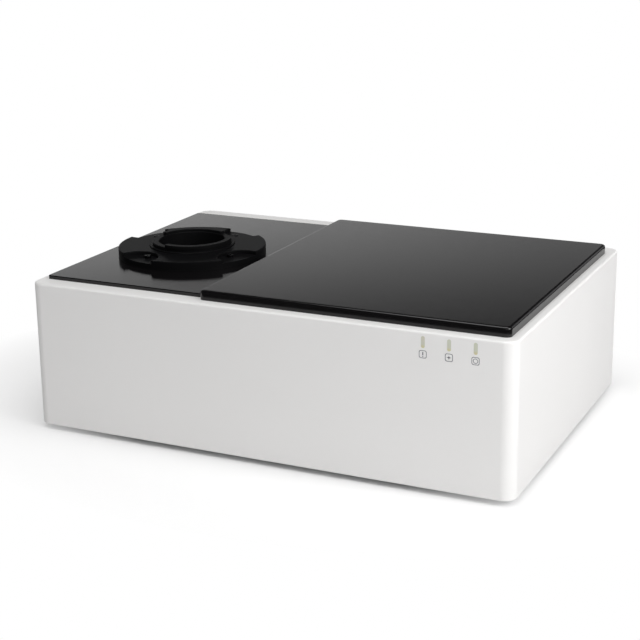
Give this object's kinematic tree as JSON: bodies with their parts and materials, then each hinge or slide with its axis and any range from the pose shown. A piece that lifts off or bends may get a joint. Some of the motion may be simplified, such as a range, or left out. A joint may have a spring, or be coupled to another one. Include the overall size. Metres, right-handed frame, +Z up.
{
  "type": "near-infrared spectrophotometer",
  "caption": "Benchtop near-infrared spectrophotometer with a round sample stage and turning cup ring on top, a raised black cover, indicator lights and a rear connector panel.",
  "frame": {"origin": "middle of the footprint, on the surface that the feet stand on", "axes": "+X to the operator's right, +Y to the back, +Z up"},
  "size_m": [0.54, 0.3804, 0.186],
  "materials": {
    "white_enamel": "satin",
    "black_gloss": "gloss",
    "black_anodised": "matte anodised",
    "plain_steel": "zinc plated",
    "dark_rubber": "matte",
    "light_guide": "diffuse",
    "black_plastic": "matte",
    "bush_polymer": "matte",
    "plain_aluminium": "machined",
    "clear_glass": "polished",
    "mirror_coat": "polished",
    "white_ceramic": "matte",
    "circuit_board": "solder mask",
    "brass_contact": "plated",
    "grey_panel": "satin"
  },
  "bodies": {
    "instrument": {"casing": "white_enamel", "base_pan": "grey_panel", "case_screws": "plain_steel", "rubber_feet": "dark_rubber", "left_panel": "black_gloss", "right_cover": "black_gloss", "light_pipes": "light_guide", "indicator_board": "circuit_board", "stage_adapter": "black_anodised", "adapter_screws": "plain_steel", "turntable_bush": "bush_polymer", "drive_plate": "plain_aluminium", "drive_bracket": "plain_aluminium", "turntable_motor": "black_plastic", "optical_bench": "plain_aluminium", "bench_posts": "dark_rubber", "sphere_body": "plain_aluminium", "sphere_cap": "plain_aluminium", "sphere_stand": "black_anodised", "window_cell": "black_anodised", "sample_window": "clear_glass", "detector": "plain_steel", "detector_board": "circuit_board", "lamp_reflector": "mirror_coat", "lamp_bulb": "clear_glass", "lamp_socket": "white_ceramic", "lamp_holder": "black_anodised", "filter_bracket": "plain_aluminium", "filter_motor": "black_plastic", "slits": "black_anodised", "mirrors": "mirror_coat", "mirror_mounts": "black_anodised", "grating_bracket": "plain_aluminium", "grating_motor": "black_plastic", "relay_lens": "clear_glass", "lens_mount": "black_anodised", "shutter_solenoid": "plain_steel", "mains_inlet": "black_plastic", "inlet_pins": "brass_contact", "fuse_drawer": "black_plastic", "switch_housing": "black_plastic", "usb_port": "plain_steel", "fan_frame": "black_plastic", "fan_guard": "plain_steel", "fan_screws": "plain_steel", "power_supply": "plain_steel", "main_board": "circuit_board"},
    "turntable": {"turntable": "black_anodised", "turntable_gear": "bush_polymer", "gear_snap_ring": "plain_steel"},
    "turntable_drive": {"turntable_pinion": "brass_contact", "turntable_motor_shaft": "plain_steel"},
    "filter_wheel": {"filter_wheel": "black_anodised", "filters": "clear_glass"},
    "grating_turret": {"grating_turret": "plain_aluminium", "grating": "mirror_coat"},
    "grating_drive": {"grating_pinion": "brass_contact"},
    "shutter": {"shutter_flag": "plain_aluminium"},
    "fan_rotor": {"fan_rotor": "black_plastic"},
    "power_rocker": {"power_rocker": "black_plastic"}
  },
  "joints": [
    {"name": "turntable_spin", "type": "hinge", "parent": "instrument", "child": "turntable", "pos_m": [-0.1656, -0.024, 0.17], "axis": [0, 0, 1], "continuous": true},
    {"name": "turntable_pinion_spin", "type": "hinge", "parent": "instrument", "child": "turntable_drive", "pos_m": [-0.1656, 0.036, 0.15], "axis": [0, 0, 1], "continuous": true},
    {"name": "filter_wheel_spin", "type": "hinge", "parent": "instrument", "child": "filter_wheel", "pos_m": [-0.018, -0.128, 0.076], "axis": [1, 0, 0], "continuous": true},
    {"name": "grating_turn", "type": "hinge", "parent": "instrument", "child": "grating_turret", "pos_m": [0.06, -0.034, 0.05], "axis": [0, 0, 1], "range_deg": [-12, 12]},
    {"name": "grating_pinion_turn", "type": "hinge", "parent": "instrument", "child": "grating_drive", "pos_m": [0.00752, -0.03261, 0.05], "axis": [0, 0, 1], "range_deg": [-72, 72]},
    {"name": "shutter_swing", "type": "hinge", "parent": "instrument", "child": "shutter", "pos_m": [-0.0438, 0.0433, 0.06], "axis": [0, 0, 1], "range_deg": [0, 50]},
    {"name": "fan_spin", "type": "hinge", "parent": "instrument", "child": "fan_rotor", "pos_m": [-0.092, 0.175, 0.082], "axis": [0, 1, 0], "continuous": true},
    {"name": "power_rocker_tilt", "type": "hinge", "parent": "instrument", "child": "power_rocker", "pos_m": [0.108, 0.184, 0.108], "axis": [1, 0, 0], "range_deg": [0, 14]}
  ],
  "couplings": [
    {"joint": "turntable_pinion_spin", "follows": "turntable_spin", "ratio": -4},
    {"joint": "grating_pinion_turn", "follows": "grating_turn", "ratio": -6}
  ]
}
